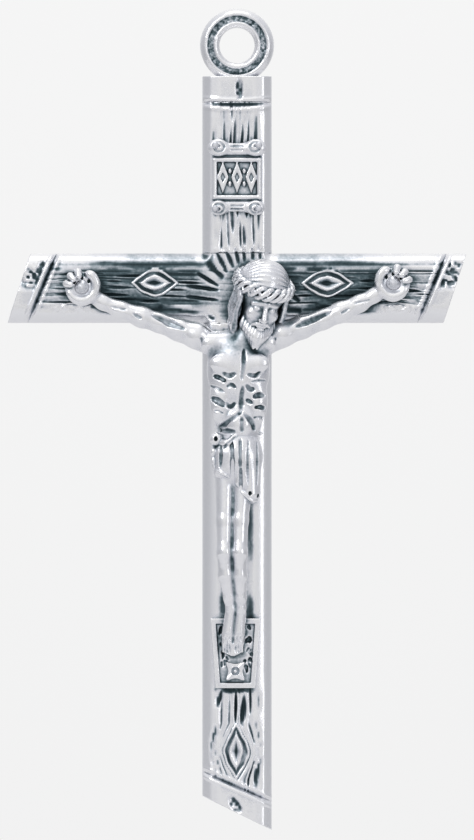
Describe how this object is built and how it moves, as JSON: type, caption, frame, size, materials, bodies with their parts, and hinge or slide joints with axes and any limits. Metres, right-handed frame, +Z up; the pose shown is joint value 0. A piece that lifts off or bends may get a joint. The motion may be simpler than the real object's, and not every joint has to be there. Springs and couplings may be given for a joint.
{
  "type": "hanging crucifix",
  "caption": "Small hanging crucifix in antiqued silver: log-shaped cross, figure in relief, plain scroll, footrest and a fixed eye.",
  "frame": {"origin": "centre of the hanging eye's hole, halfway through the eye", "axes": "+Z up along the upright, -Y out of the front face towards the viewer, +X to the viewer's right"},
  "size_m": [0.0284, 0.0051, 0.0509],
  "materials": {
    "log_silver": "antiqued silver, dark patina in the grain, polished ridges",
    "figure_silver": "antiqued silver, polished high spots",
    "eye_silver": "antiqued silver, dark matte flats, bright rims"
  },
  "bodies": {
    "root": {"upright": "log_silver", "crossbar": "log_silver", "top_band": "log_silver", "left_band": "log_silver", "right_band": "log_silver", "foot_band": "log_silver", "hanging_eye": "eye_silver", "eye_lock_pin": "log_silver", "titulus_scroll": "log_silver", "titulus_pins": "log_silver", "corpus": "figure_silver", "crown_of_thorns": "figure_silver", "hand_nail_left": "log_silver", "hand_nail_right": "log_silver", "footrest": "log_silver", "footrest_peg": "log_silver", "foot_pin": "log_silver", "crossing_pins": "log_silver", "corpus_screw": "log_silver", "band_pins": "log_silver"}
  },
  "joints": []
}
